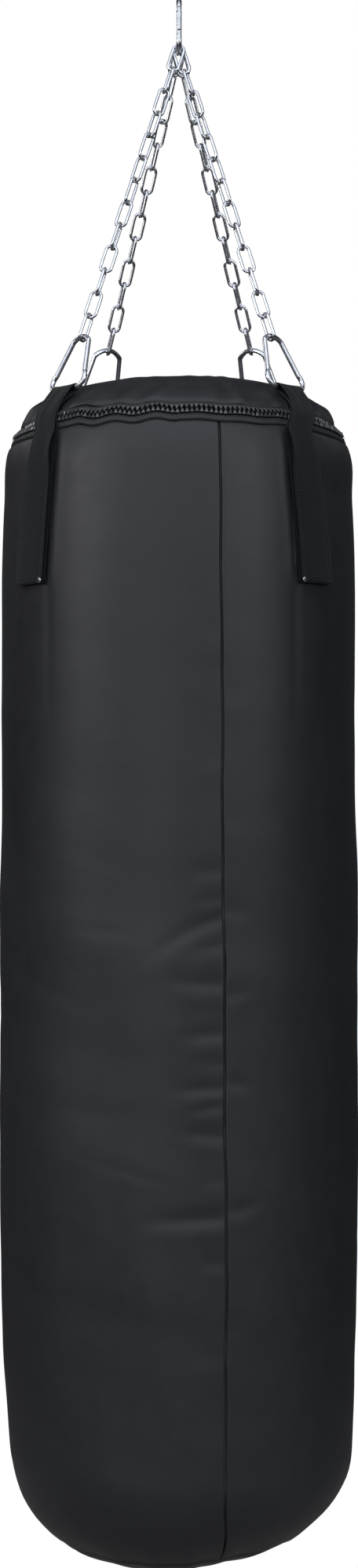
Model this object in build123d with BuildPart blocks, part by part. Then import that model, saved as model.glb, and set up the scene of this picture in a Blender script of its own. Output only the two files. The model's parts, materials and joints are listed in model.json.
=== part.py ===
"""Heavy bag that hangs on four chains from one snap hook. Millimetres, +Z up.

The origin is the point inside the snap hook's upper bend where the hook rests on the bar or eye that
carries it. The front of the bag faces -Y. A place round the bag is given by its bearing: 0 at the
front, growing towards +X, so 90 is the right side and 180 the back.

The bag is a body of revolution. Its outline is a chain of tangent arcs, each named by its radius and
by the tilt of the outward normal from straight up at its lower end: 0 is the crown, 90 the upright
side, 180 the lowest point. Every layer of the bag is a stretch of that outline between two depths.
"""

import os

from build123d import *
from math import asin, cos, degrees, radians, sin

# --- driving dimensions ---------------------------------------------------------------------------

# snap hook, bent from one round rod in the plane X = 0
HOOK_ROD = 5.5
HOOK_LENGTH = 58.0
HOOK_INNER_WIDTH = 17.0
NOSE_END_Z = -9.0
GATE_TOP_Z = -11.0
GATE_HINGE_Z = -31.0
GATE_PIN_R = 1.0
TONGUE_THICK = 2.4
TONGUE_TOP_Z = -5.9
TANG_THICK = 2.4
SIDE_PLAY = 0.2
PIN_PLAY = 0.03
SPRING_WIRE_R = 0.22
SPRING_COIL_R = 0.85
SPRING_PITCH = 1.0
SPRING_LENGTH = 9.0

# chain of long welded links
LINK_ROD = 3.0
LINK_INNER_WIDTH = 8.0
LINK_INNER_LENGTH = 25.15
REAR_LINK_INNER_LENGTH = 24.23
LINKS_PER_CHAIN = 13
SEAT_GAP = 0.05
HOOK_SEAT_GAP = 0.35

# rounded-triangle ring
RING_ROD = 5.0
RING_HEIGHT = 57.0
REAR_RING_HEIGHT = 69.0
RING_FLAT_HALF = 17.0
RING_CORNER_R = 9.5
RING_TOP_R = 18.0
REAR_RING_TOP_R = 22.0
RING_BAR_RADIUS = 139.3
RING_BAR_Z = -399.5

# bag outline: crown height, tangent arcs and the straight stretch of the side
CROWN_Z = -382.4
UPPER_ARCS = [(450.0, 16.0), (75.0, 50.0), (30.0, 70.0), (160.0, 86.0), (1800.0, 90.0)]
SIDE_STRAIGHT = 583.6
LOWER_ARCS = [(5000.0, 93.0), (100.0, 135.0), (135.0, 165.0)]

# layers, as depths below the outline (negative depths stand proud of it)
COVER_THICK = 2.0
TAPE_DEPTHS = (2.1, 3.0)
TEETH_DEPTHS = (-1.0, 3.0)
PATCH_DEPTHS = (2.05, 3.15)
PAD_DEPTHS = (3.3, 20.0)
LINER_DEPTHS = (4.5, 20.0)
FILLING_DEPTH = 21.0

# where the pieces begin and end along the outline, as tilts of the normal
TOP_PANEL_END = 46.4
UPPER_BINDING = (46.5, 50.2)
UPPER_TAPE = (44.0, 50.3)
UPPER_TEETH = (50.4, 58.6)
LOWER_TEETH = (61.4, 69.6)
LOWER_TAPE = (69.7, 74.5)
LOWER_BINDING = (69.8, 73.0)
COVER = (73.1, 150.0)
BOTTOM_PANEL_START = 150.1
TOP_PAD_END = 42.0
LINER = (76.0, 148.0)
BOTTOM_PAD_START = 150.0
SEAM_TAPE = (76.0, 148.0)

# zip: bearings of its two ends, of its stops and of the slider
ZIP_START = 229.0
ZIP_END = 561.0
STOP_ARC = 1.2
SLIDER_BEARING = 198.0
SLIDER_ARC = 4.2
SLIDER_SPAN = (51.5, 68.5)
SLIDER_TOP_DEPTHS = (-3.2, -1.6)
SLIDER_LOW_DEPTHS = (4.6, 5.8)
SLIDER_NECK = (59.2, 60.8)
BAIL_LENGTH = 8.0
BAIL_WIDTH = 3.0
BAIL_HEIGHT = 3.6
BAIL_HOLE_LENGTH = 5.2
BAIL_HOLE_HEIGHT = 2.3
PULL_LENGTH = 26.0
PULL_WIDTH = 8.0
PULL_THICK = 1.4
PULL_WINDOW_WIDTH = 3.8
PULL_WINDOW_LENGTH = 5.6

# vertical seam of the cover tube
SEAM_BEARING = 12.9
SEAM_TAPE_WIDTH = 20.0

# webbing straps, doubled and looped round the ring's bar
STRAP_WIDTH = 45.5
STRAP_DEPTHS = (-4.5, -1.3)
STRAP_TOP_TILT = 38.0
STRAP_LENGTH_DOWN = 116.5
STRAP_LOOP_WIDTH = 33.0
STRAP_LOOP_INNER_R = 3.8
STRAP_LOOP_OUTER_R = 5.2
PATCH_MARGIN = 1.2
RIVET_FROM_EDGE = 4.0
RIVET_FROM_END = 3.7
RIVET_SHANK_R = 1.2
RIVET_HEAD_R = 2.5
RIVET_HEAD_THICK = 1.0
RIVET_HOLE_PLAY = 0.05
WASHER_R = 3.0
WASHER_THICK = 0.9

# the four suspension points: bearing of the ring and of the strap's band, tilt of the first link's
# seat in the hook's lower bend from its lowest point (front negative), and how far the chain is twisted
# at some of its links, as (link, heading of its width from +X towards +Y)
FRONT_TWIST = [(0, 0.0), (2, 34.0), (6, 60.0), (9, 86.0), (11, 80.0), (12, 58.0)]
REAR_TWIST = [(0, 0.0), (4, 72.0), (12, 76.0)]
SUSPENSIONS = {
    "front_left": {"bearing": -52.6, "band": -52.8, "seat": -48.0, "twist": FRONT_TWIST, "turn": 1},
    "front_right": {"bearing": 49.6, "band": 46.8, "seat": -15.0, "twist": FRONT_TWIST, "turn": -1},
    "rear_right": {"bearing": 139.5, "band": 139.5, "seat": 15.5, "twist": REAR_TWIST, "turn": 1},
    "rear_left": {"bearing": 219.5, "band": 219.5, "seat": 44.5, "twist": REAR_TWIST, "turn": -1},
}

# --- derived dimensions ---------------------------------------------------------------------------

HOOK_BEND_R = (HOOK_INNER_WIDTH + HOOK_ROD) / 2
UPPER_BEND_Z = -HOOK_INNER_WIDTH / 2
LOWER_BEND_Z = HOOK_ROD - HOOK_LENGTH + HOOK_ROD / 2 + HOOK_BEND_R
LINK_END_R = (LINK_INNER_WIDTH + LINK_ROD) / 2


def polar(radius, bearing, z):
    """The point at a radius, bearing and height."""
    return Vector(radius * sin(radians(bearing)), -radius * cos(radians(bearing)), z)


def outward(bearing):
    """The level unit vector that points away from the bag's axis at a bearing."""
    return polar(1.0, bearing, 0.0)


def along(bearing):
    """The level unit vector that runs round the bag at a bearing, towards growing bearings."""
    return polar(1.0, bearing + 90, 0.0)


def outline_pieces():
    """The bag's outline from crown to lowest point, as (centre r, centre z, radius, from, to)."""
    pieces = []
    first_radius = UPPER_ARCS[0][0]
    centre_r = 0.0
    centre_z = CROWN_Z - first_radius
    radius = first_radius
    tilt = 0.0
    for next_radius, end in UPPER_ARCS + LOWER_ARCS:
        centre_r += (radius - next_radius) * sin(radians(tilt))
        centre_z += (radius - next_radius) * cos(radians(tilt))
        if (next_radius, end) == LOWER_ARCS[0]:
            centre_z -= SIDE_STRAIGHT
        pieces.append((centre_r, centre_z, next_radius, tilt, end))
        radius = next_radius
        tilt = end
    end_r = centre_r + radius * sin(radians(tilt))
    end_z = centre_z + radius * cos(radians(tilt))
    bottom_radius = end_r / sin(radians(tilt))
    pieces.append((0.0, end_z - bottom_radius * cos(radians(tilt)), bottom_radius, tilt, 180.0))
    return pieces


OUTLINE = outline_pieces()


def outline_point(piece, tilt, depth):
    """The point (r, z) on one arc of the outline, at a depth below it."""
    centre_r, centre_z, radius = piece[:3]
    reach = radius - depth
    return (centre_r + reach * sin(radians(tilt)), centre_z + reach * cos(radians(tilt)))


def draw_outline(tilt_from, tilt_to, depth):
    """Add the outline between two tilts to the current line, and return its two end points."""
    ends = []
    previous = None
    for piece in OUTLINE:
        low = max(tilt_from, piece[3])
        high = min(tilt_to, piece[4])
        if high <= low:
            continue
        start = outline_point(piece, low, depth)
        middle = outline_point(piece, (low + high) / 2, depth)
        finish = outline_point(piece, high, depth)
        if previous and abs(previous[1] - start[1]) > 1.0:
            Line(previous, start)
        ThreePointArc(start, middle, finish)
        ends += [start, finish]
        previous = finish
    return ends[0], ends[-1]


def upright_plane(bearing):
    """The half plane through the bag's axis at a bearing: its x runs outwards and its y up."""
    return Plane(origin=(0, 0, 0), x_dir=outward(bearing), z_dir=along(bearing) * -1)


def layer_sketch(tilts, depths, bearing):
    """The cross-section of a layer between two tilts and two depths, in the plane of a bearing."""
    with BuildSketch(upright_plane(bearing)) as section:
        with BuildLine():
            outer_start, outer_end = draw_outline(tilts[0], tilts[1], depths[0])
            inner_start, inner_end = draw_outline(tilts[0], tilts[1], depths[1])
            Line(outer_start, inner_start)
            Line(outer_end, inner_end)
        make_face()
    return section.sketch


def layer(label, tilts, depths, bearing=0.0, arc=360.0):
    """A layer of the bag turned round its axis, from a bearing through an arc."""
    with BuildPart() as body:
        add(layer_sketch(tilts, depths, bearing))
        revolve(axis=Axis.Z, revolution_arc=arc)
    body.part.label = label
    return body.part


def rod_along(path, start, direction, diameter):
    """A round rod swept along a path that starts at a point in a direction."""
    with BuildPart() as rod:
        with BuildSketch(Plane(origin=start, z_dir=direction)):
            Circle(diameter / 2)
        sweep(path=path)
    return rod.part


# --- snap hook ------------------------------------------------------------------------------------


def make_hook_body():
    """The hook's bent rod, with a slotted nose above the gate and a drilled tang below it."""
    with BuildLine(Plane.YZ) as centre_line:
        nose = Line((-HOOK_BEND_R, NOSE_END_Z), (-HOOK_BEND_R, UPPER_BEND_Z))
        top = ThreePointArc(nose @ 1, (0, UPPER_BEND_Z + HOOK_BEND_R), (HOOK_BEND_R, UPPER_BEND_Z))
        back = Line(top @ 1, (HOOK_BEND_R, LOWER_BEND_Z))
        bottom = ThreePointArc(back @ 1, (0, LOWER_BEND_Z - HOOK_BEND_R), (-HOOK_BEND_R, LOWER_BEND_Z))
        Line(bottom @ 1, (-HOOK_BEND_R, GATE_HINGE_Z - HOOK_ROD / 2 - SIDE_PLAY))
    rod_r = HOOK_ROD / 2
    with BuildPart() as hook:
        add(rod_along(centre_line.line, (0, -HOOK_BEND_R, NOSE_END_Z), (0, 0, 1), HOOK_ROD))
        with BuildSketch(Plane.YZ):
            with Locations((-HOOK_BEND_R, (GATE_HINGE_Z + LOWER_BEND_Z) / 2)):
                Rectangle(HOOK_ROD - 2 * SIDE_PLAY, GATE_HINGE_Z - LOWER_BEND_Z)
            with Locations((-HOOK_BEND_R, GATE_HINGE_Z)):
                Circle(rod_r - SIDE_PLAY)
        extrude(amount=TANG_THICK / 2, both=True)
        with BuildSketch(Plane.YZ):
            with Locations((-HOOK_BEND_R, GATE_HINGE_Z)):
                Circle(GATE_PIN_R + PIN_PLAY)
        extrude(amount=HOOK_ROD, both=True, mode=Mode.SUBTRACT)
        slot_top = TONGUE_TOP_Z + 0.8
        with BuildSketch(Plane.YZ):
            with Locations((-HOOK_BEND_R, (slot_top + NOSE_END_Z) / 2 - 1)):
                Rectangle(2 * HOOK_ROD, slot_top - NOSE_END_Z + 2)
        extrude(amount=TONGUE_THICK / 2 + SIDE_PLAY, both=True, mode=Mode.SUBTRACT)
    hook.part.label = "hook_body"
    return hook.part


def make_gate():
    """The gate: a round bar, forked over the tang, with a tongue that enters the nose's slot."""
    rod_r = HOOK_ROD / 2
    with BuildPart() as gate:
        with BuildSketch(Plane.XY.offset(GATE_HINGE_Z - rod_r)):
            with Locations((0, -HOOK_BEND_R)):
                Circle(rod_r)
        extrude(amount=GATE_TOP_Z - GATE_HINGE_Z + rod_r)
        with BuildSketch(Plane.YZ):
            with Locations((-HOOK_BEND_R, GATE_HINGE_Z - rod_r)):
                Rectangle(2 * HOOK_ROD, 2 * rod_r)
            with Locations((-HOOK_BEND_R, GATE_HINGE_Z)):
                Circle(rod_r, mode=Mode.SUBTRACT)
        extrude(amount=HOOK_ROD, both=True, mode=Mode.SUBTRACT)
        with BuildSketch(Plane.YZ):
            with Locations((-HOOK_BEND_R, GATE_HINGE_Z)):
                Rectangle(2 * HOOK_ROD, HOOK_ROD + 4 * SIDE_PLAY)
        extrude(amount=TANG_THICK / 2 + SIDE_PLAY, both=True, mode=Mode.SUBTRACT)
        with BuildSketch(Plane.YZ):
            with Locations((-HOOK_BEND_R, GATE_HINGE_Z)):
                Circle(GATE_PIN_R)
        extrude(amount=HOOK_ROD, both=True, mode=Mode.SUBTRACT)
        with BuildSketch(Plane.YZ):
            with Locations((-HOOK_BEND_R, (TONGUE_TOP_Z + GATE_TOP_Z) / 2)):
                Rectangle(0.65 * HOOK_ROD, TONGUE_TOP_Z - GATE_TOP_Z + 0.01)
        extrude(amount=TONGUE_THICK / 2, both=True)
        spring_hole_top = GATE_HINGE_Z + HOOK_ROD / 2 + SPRING_LENGTH + 1
        with BuildSketch(Plane.XY.offset(GATE_HINGE_Z)):
            with Locations((0, -HOOK_BEND_R)):
                Circle(SPRING_COIL_R + SPRING_WIRE_R + SIDE_PLAY)
        extrude(amount=spring_hole_top - GATE_HINGE_Z, mode=Mode.SUBTRACT)
    gate.part.label = "hook_gate"
    return gate.part


def make_gate_pin():
    """The rivet that the gate turns on, held in the gate's fork."""
    with BuildPart() as pin:
        with BuildSketch(Plane.YZ):
            with Locations((-HOOK_BEND_R, GATE_HINGE_Z)):
                Circle(GATE_PIN_R)
        extrude(amount=HOOK_ROD / 2 - 0.1, both=True)
    pin.part.label = "gate_pin"
    return pin.part


def make_gate_spring():
    """The small compression spring hidden in the gate's bore, above the tang."""
    start_z = GATE_HINGE_Z + HOOK_ROD / 2 + SPRING_WIRE_R + 2 * SIDE_PLAY
    coil = Helix(SPRING_PITCH, SPRING_LENGTH, SPRING_COIL_R, center=(0, -HOOK_BEND_R, start_z))
    with BuildPart() as spring:
        with BuildSketch(Plane(origin=coil @ 0, z_dir=coil % 0)):
            Circle(SPRING_WIRE_R)
        sweep(path=coil, is_frenet=True)
    spring.part.label = "gate_spring"
    return spring.part


# --- rings and chains -----------------------------------------------------------------------------


def is_front(place):
    """Whether a suspension point is one of the two at the front."""
    return abs((place["bearing"] + 180) % 360 - 180) < 90


def ring_height(place):
    """How tall a suspension's ring is, from its bar to its top."""
    return RING_HEIGHT if is_front(place) else REAR_RING_HEIGHT


def link_length(place):
    """The inside length of a suspension's links."""
    return LINK_INNER_LENGTH if is_front(place) else REAR_LINK_INNER_LENGTH


def make_ring(height, top_radius):
    """One rounded-triangle ring in the XY plane: its bar along X at y = 0, its top at +Y."""
    corner_y = RING_CORNER_R
    top_y = height - top_radius
    run = RING_FLAT_HALF
    rise = top_y - corner_y
    span = (run**2 + rise**2) ** 0.5
    lean = asin((top_radius - RING_CORNER_R) / span) + asin(run / span)
    side = Vector(cos(lean), sin(lean))
    corner = Vector(RING_FLAT_HALF, corner_y)
    crown = Vector(0, top_y)
    half_turn = (radians(90) + lean) / 2
    corner_mid = corner + Vector(sin(half_turn), -cos(half_turn)) * RING_CORNER_R
    crown_turn = lean + (radians(90) - lean) / 2
    crown_mid = crown + Vector(cos(crown_turn), sin(crown_turn)) * top_radius
    with BuildLine() as half:
        bar = Line((0, 0), (RING_FLAT_HALF, 0))
        bend = ThreePointArc(bar @ 1, corner_mid, corner + side * RING_CORNER_R)
        leg = Line(bend @ 1, crown + side * top_radius)
        ThreePointArc(leg @ 1, crown_mid, (0, height))
    with BuildPart() as ring:
        add(rod_along(half.line, (0, 0, 0), (1, 0, 0), RING_ROD))
        mirror(about=Plane.YZ)
    return ring.part


def make_link(inner_length):
    """One welded link in the XY plane, its length along Y."""
    side_half = (inner_length + LINK_ROD) / 2 - LINK_END_R
    with BuildLine() as half:
        right = Line((LINK_END_R, 0), (LINK_END_R, side_half))
        end = ThreePointArc(right @ 1, (0, side_half + LINK_END_R), (-LINK_END_R, side_half))
        Line(end @ 1, (-LINK_END_R, 0))
    with BuildPart() as link:
        add(rod_along(half.line, (LINK_END_R, 0, 0), (0, 1, 0), LINK_ROD))
        mirror(about=Plane.XZ)
    return link.part


def hook_seat(place):
    """Where a first link's upper wire rests inside the hook's lower bend, and the way it hangs."""
    seat = radians(place["seat"])
    rod_centre = Vector(0, HOOK_BEND_R * sin(seat), LOWER_BEND_Z - HOOK_BEND_R * cos(seat))
    rod_run = Vector(0, cos(seat), sin(seat))
    bar_centre = polar(RING_BAR_RADIUS, place["bearing"], RING_BAR_Z)
    down = (bar_centre - rod_centre).normalized()
    width = level_width(down, link_heading(place, 0))
    under = width.cross(rod_run).normalized()
    if under.Z > 0:
        under = under * -1
    return rod_centre - under * (HOOK_ROD / 2 + LINK_ROD / 2 + HOOK_SEAT_GAP)


def link_heading(place, index):
    """The heading of a link's width, before the quarter turn of every second link."""
    for (low, start), (high, finish) in zip(place["twist"], place["twist"][1:]):
        if low <= index <= high:
            return place["turn"] * (start + (finish - start) * (index - low) / (high - low))
    return 0.0


def level_width(down, heading):
    """The direction square to a chain's run that lies nearest to a level heading."""
    level = Vector(cos(radians(heading)), sin(radians(heading)), 0)
    return (level - down * level.dot(down)).normalized()


def ring_plane(place):
    """Where a suspension's ring sits: on its bar, leaning along the line to its seat in the hook."""
    bar_centre = polar(RING_BAR_RADIUS, place["bearing"], RING_BAR_Z)
    bar = along(place["bearing"])
    pull = (hook_seat(place) - bar_centre).normalized()
    upwards = (pull - bar * pull.dot(bar)).normalized()
    return Plane(origin=bar_centre, x_dir=bar, z_dir=bar.cross(upwards))


def link_planes(place):
    """The plane of each link of a chain, from the hook down to the ring."""
    plane = ring_plane(place)
    ring_top = plane.origin + plane.y_dir * ring_height(place)
    start = hook_seat(place)
    down = (ring_top - start).normalized()
    finish = ring_top + down * (RING_ROD / 2 + LINK_ROD / 2 + SEAT_GAP)
    spacing = ((finish - start).length - LINK_ROD) / LINKS_PER_CHAIN
    planes = []
    for index in range(LINKS_PER_CHAIN):
        width = level_width(down, link_heading(place, index) + 90 * (index % 2))
        middle = start + down * (spacing * (index + 0.5) + LINK_ROD / 2)
        planes.append(Plane(origin=middle, x_dir=width, z_dir=width.cross(down * -1)))
    return planes, spacing


def make_chain(name, place):
    """One chain: its links are separate solids, each hooked through the next."""
    planes, spacing = link_planes(place)
    print(f"chain_{name}: one link every {spacing:.3f} mm, link inside {link_length(place):.3f} mm")
    link = make_link(link_length(place))
    chain = Compound(children=[plane.location * link for plane in planes])
    chain.label = f"chain_{name}"
    return chain


# --- straps and their rivets ----------------------------------------------------------------------


def strap_half_arc():
    """Half the bearing that a strap covers where it lies on the upright side."""
    return degrees(STRAP_WIDTH / 2 / SIDE_RADIUS)


def strap_end_tilt():
    """The tilt of the outline at the strap's lower end."""
    arc = OUTLINE[len(UPPER_ARCS) - 1]
    top_z = outline_point(arc, arc[3], 0)[1]
    return degrees(asin(1.0)) - degrees(asin((top_z - STRAP_LENGTH_DOWN - arc[1]) / arc[2]))


def rivet_plane(place):
    """A rivet's seat on the strap: its z axis points out of the bag."""
    arc = OUTLINE[len(UPPER_ARCS) - 1]
    radius, end_z = outline_point(arc, strap_end_tilt(), STRAP_DEPTHS[0])
    inset = strap_half_arc() - degrees(RIVET_FROM_EDGE / SIDE_RADIUS)
    front = abs((place["band"] + 180) % 360 - 180) < 90
    left = sin(radians(place["band"])) < 0
    towards = 1 if front == left else -1
    bearing = place["band"] + towards * inset
    point = polar(radius, bearing, end_z + RIVET_FROM_END)
    return Plane(origin=point, x_dir=along(bearing), z_dir=outward(bearing))


def rivet_cutter(place):
    """The round hole that a rivet's shank passes through."""
    with BuildPart() as cutter:
        with BuildSketch(rivet_plane(place)):
            Circle(RIVET_SHANK_R + RIVET_HOLE_PLAY)
        extrude(amount=12, both=True)
    return cutter.part


def make_strap(name, place):
    """One strap: doubled webbing up the side, gathered where it loops round the bar of its ring."""
    half = strap_half_arc()
    loop_half = degrees(STRAP_LOOP_WIDTH / 2 / RING_BAR_RADIUS)
    middle_depth = sum(STRAP_DEPTHS) / 2
    thickness = STRAP_DEPTHS[1] - STRAP_DEPTHS[0]
    root = outline_point(OUTLINE[1], STRAP_TOP_TILT, middle_depth)
    bar = (RING_BAR_RADIUS, RING_BAR_Z)
    tilts = (STRAP_TOP_TILT, strap_end_tilt())
    with BuildPart() as strap:
        with BuildSketch(upright_plane(place["bearing"] - loop_half)):
            with BuildLine() as reach:
                Line(root, bar)
            trace(lines=reach.line, line_width=thickness)
            with Locations(bar):
                Circle(STRAP_LOOP_OUTER_R)
                Circle(STRAP_LOOP_INNER_R, mode=Mode.SUBTRACT)
        revolve(axis=Axis.Z, revolution_arc=2 * loop_half)
        add(layer("band", tilts, STRAP_DEPTHS, place["band"] - half, 2 * half))
        add(rivet_cutter(place), mode=Mode.SUBTRACT)
    strap.part.label = f"strap_{name}"
    return strap.part


def make_backing_patch(name, place):
    """The patch inside the cover that a strap's stitching and rivet pass through."""
    half = strap_half_arc() + PATCH_MARGIN
    tilts = (LINER[0] + 1, strap_end_tilt())
    with BuildPart() as patch:
        add(layer("patch", tilts, PATCH_DEPTHS, place["band"] - half, 2 * half))
        add(rivet_cutter(place), mode=Mode.SUBTRACT)
    patch.part.label = f"strap_patch_{name}"
    return patch.part


def make_rivets():
    """The small domed rivets at the straps' lower inner corners."""
    rivets = []
    shank = PATCH_DEPTHS[1] - STRAP_DEPTHS[0] + WASHER_THICK + 0.1
    for place in SUSPENSIONS.values():
        with BuildPart() as rivet:
            with BuildSketch(rivet_plane(place)):
                Circle(RIVET_HEAD_R)
            extrude(amount=RIVET_HEAD_THICK)
            fillet(rivet.faces().sort_by(SortBy.DISTANCE)[-1:].edges(), RIVET_HEAD_THICK * 0.8)
            with BuildSketch(rivet_plane(place)):
                Circle(RIVET_SHANK_R)
            extrude(amount=-shank)
        rivets.append(rivet.part)
    group = Compound(children=rivets)
    group.label = "strap_rivets"
    return group


def make_washers():
    """The washers that the rivets are closed over, inside the bag."""
    washers = []
    depth = PATCH_DEPTHS[1] - STRAP_DEPTHS[0] + 0.1
    for place in SUSPENSIONS.values():
        with BuildPart() as washer:
            with BuildSketch(rivet_plane(place).offset(-depth)):
                Circle(WASHER_R)
                Circle(RIVET_SHANK_R, mode=Mode.SUBTRACT)
            extrude(amount=-WASHER_THICK)
        washers.append(washer.part)
    group = Compound(children=washers)
    group.label = "rivet_washers"
    return group


# --- zip slider -----------------------------------------------------------------------------------


def slider_plane():
    """The slider's outer face: x runs along the zip towards falling bearings, z out of the bag."""
    knee = OUTLINE[2]
    tilt = sum(SLIDER_SPAN) / 2
    radius, height = outline_point(knee, tilt, SLIDER_TOP_DEPTHS[0])
    flat_out = outward(SLIDER_BEARING) * sin(radians(tilt)) + Vector(0, 0, cos(radians(tilt)))
    return Plane(origin=polar(radius, SLIDER_BEARING, height), x_dir=along(SLIDER_BEARING) * -1,
                 z_dir=flat_out)


def make_slider():
    """The slider: two curved plates joined by a neck between the rows, and a bail for the pull."""
    start = SLIDER_BEARING - SLIDER_ARC / 2
    face = slider_plane()
    across = Plane(origin=face.origin, x_dir=face.x_dir, z_dir=face.y_dir * -1)
    with BuildPart() as slider:
        add(layer("top", SLIDER_SPAN, SLIDER_TOP_DEPTHS, start, SLIDER_ARC))
        add(layer("low", SLIDER_SPAN, SLIDER_LOW_DEPTHS, start, SLIDER_ARC))
        add(layer("neck", SLIDER_NECK, (SLIDER_TOP_DEPTHS[0], SLIDER_LOW_DEPTHS[1]), start, SLIDER_ARC))
        with BuildSketch(across):
            with Locations((0, BAIL_HEIGHT / 2 - 0.5)):
                Rectangle(BAIL_LENGTH, BAIL_HEIGHT + 1)
            with Locations((0, BAIL_HOLE_HEIGHT / 2)):
                Rectangle(BAIL_HOLE_LENGTH, BAIL_HOLE_HEIGHT, mode=Mode.SUBTRACT)
        extrude(amount=BAIL_WIDTH / 2, both=True)
    slider.part.label = "zip_slider"
    return slider.part


def make_pull():
    """The pull tab, whose round crossbar lies in the slider's bail."""
    middle = slider_plane().offset(BAIL_HOLE_HEIGHT / 2)
    crossbar = Plane(origin=middle.origin, x_dir=middle.x_dir, z_dir=middle.y_dir)
    with BuildPart() as pull:
        with BuildSketch(middle):
            with Locations((PULL_LENGTH / 2, 0)):
                RectangleRounded(PULL_LENGTH, PULL_WIDTH, PULL_THICK / 2)
            with Locations((PULL_WINDOW_LENGTH / 2, 0)):
                Rectangle(PULL_WINDOW_LENGTH, PULL_WINDOW_WIDTH, mode=Mode.SUBTRACT)
            with Locations((PULL_LENGTH * 0.8, 0)):
                Circle(PULL_WIDTH / 4, mode=Mode.SUBTRACT)
        extrude(amount=PULL_THICK / 2, both=True)
        with BuildSketch(crossbar):
            Circle(PULL_THICK / 2)
        extrude(amount=PULL_WIDTH / 2 - PULL_THICK / 2, both=True)
    pull.part.label = "zip_pull"
    return pull.part


# --- bag layers -----------------------------------------------------------------------------------


def make_cover():
    """The cover tube, pierced by the straps' rivets."""
    with BuildPart() as cover:
        add(layer("tube", COVER, (0, COVER_THICK)))
        for place in SUSPENSIONS.values():
            add(rivet_cutter(place), mode=Mode.SUBTRACT)
    cover.part.label = "cover_body"
    return cover.part


def make_filling():
    """The packed textile filling, solid to the axis."""
    with BuildPart() as filling:
        with BuildSketch(upright_plane(0)):
            with BuildLine():
                top, bottom = draw_outline(0, 180, FILLING_DEPTH)
                Line(bottom, top)
            make_face()
        revolve(axis=Axis.Z)
    filling.part.label = "textile_filling"
    return filling.part


def make_bag_layers():
    """The bag's shells, zip and padding, each in its own place along the outline."""
    zip_arc = ZIP_END - ZIP_START
    tape_width = degrees(SEAM_TAPE_WIDTH / SIDE_RADIUS)
    gap_arc = 360 - zip_arc
    knee = (UPPER_TEETH[0], LOWER_TEETH[1])
    return [
        layer("top_panel", (0, TOP_PANEL_END), (0, COVER_THICK)),
        layer("zip_binding_upper", UPPER_BINDING, (0, COVER_THICK)),
        layer("zip_tape_upper", UPPER_TAPE, TAPE_DEPTHS, ZIP_START, zip_arc),
        layer("zip_teeth_upper", UPPER_TEETH, TEETH_DEPTHS, ZIP_START, zip_arc),
        layer("zip_teeth_lower", LOWER_TEETH, TEETH_DEPTHS, ZIP_START, zip_arc),
        layer("zip_tape_lower", LOWER_TAPE, TAPE_DEPTHS, ZIP_START, zip_arc),
        layer("zip_stop_closed", knee, TEETH_DEPTHS, ZIP_END + 0.2, STOP_ARC),
        layer("zip_stop_open", knee, TEETH_DEPTHS, ZIP_START - STOP_ARC - 0.2, STOP_ARC),
        layer("zip_end_patch", knee, (0, COVER_THICK), ZIP_END + STOP_ARC + 0.4,
              gap_arc - 2 * STOP_ARC - 0.8),
        layer("zip_binding_lower", LOWER_BINDING, (0, COVER_THICK)),
        make_cover(),
        layer("seam_tape", SEAM_TAPE, (PATCH_DEPTHS[0], PATCH_DEPTHS[1]), SEAM_BEARING - tape_width / 2,
              tape_width),
        layer("bottom_panel", (BOTTOM_PANEL_START, 180), (0, COVER_THICK)),
        layer("top_pad", (0, TOP_PAD_END), PAD_DEPTHS),
        layer("foam_liner", LINER, LINER_DEPTHS),
        layer("bottom_pad", (BOTTOM_PAD_START, 180), PAD_DEPTHS),
        make_filling(),
    ]


def make_suspension(name, place, ring):
    """One corner's chain, ring, strap and backing patch."""
    placed_ring = ring_plane(place).location * ring
    placed_ring.label = f"ring_{name}"
    return [
        make_chain(name, place),
        placed_ring,
        make_strap(name, place),
        make_backing_patch(name, place),
    ]


SIDE_RADIUS = outline_point(OUTLINE[len(UPPER_ARCS) - 1], 90, 0)[0]
BAG_HEIGHT = CROWN_Z - (OUTLINE[-1][1] - OUTLINE[-1][2])

pieces = [make_hook_body(), make_gate(), make_gate_pin(), make_gate_spring()]
front_ring = make_ring(RING_HEIGHT, RING_TOP_R)
rear_ring = make_ring(REAR_RING_HEIGHT, REAR_RING_TOP_R)
for corner_name, corner_place in SUSPENSIONS.items():
    corner_ring = front_ring if is_front(corner_place) else rear_ring
    pieces += make_suspension(corner_name, corner_place, corner_ring)
pieces += [make_rivets(), make_washers()]
pieces += make_bag_layers()
pieces += [make_slider(), make_pull()]

print(f"bag {2 * SIDE_RADIUS:.1f} mm across, {BAG_HEIGHT:.1f} mm tall, {len(pieces)} pieces")
os.makedirs("parts", exist_ok=True)
for piece in pieces:
    export_step(piece, f"parts/{piece.label}.step")
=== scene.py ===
"""Looks for the hanging heavy bag: its skins, straps, zip teeth, stitches, materials, light and camera.

Metres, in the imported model's frame: origin at the hook's bearing point, +Z up, the front faces -Y.
A bearing is measured from the front towards +X. The bag's outline is a chain of tangent arcs, as in
the CAD: depth is measured into the bag, and a tilt is that of the outward normal from straight up.
"""

import json
from math import cos, pi, radians, sin

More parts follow.
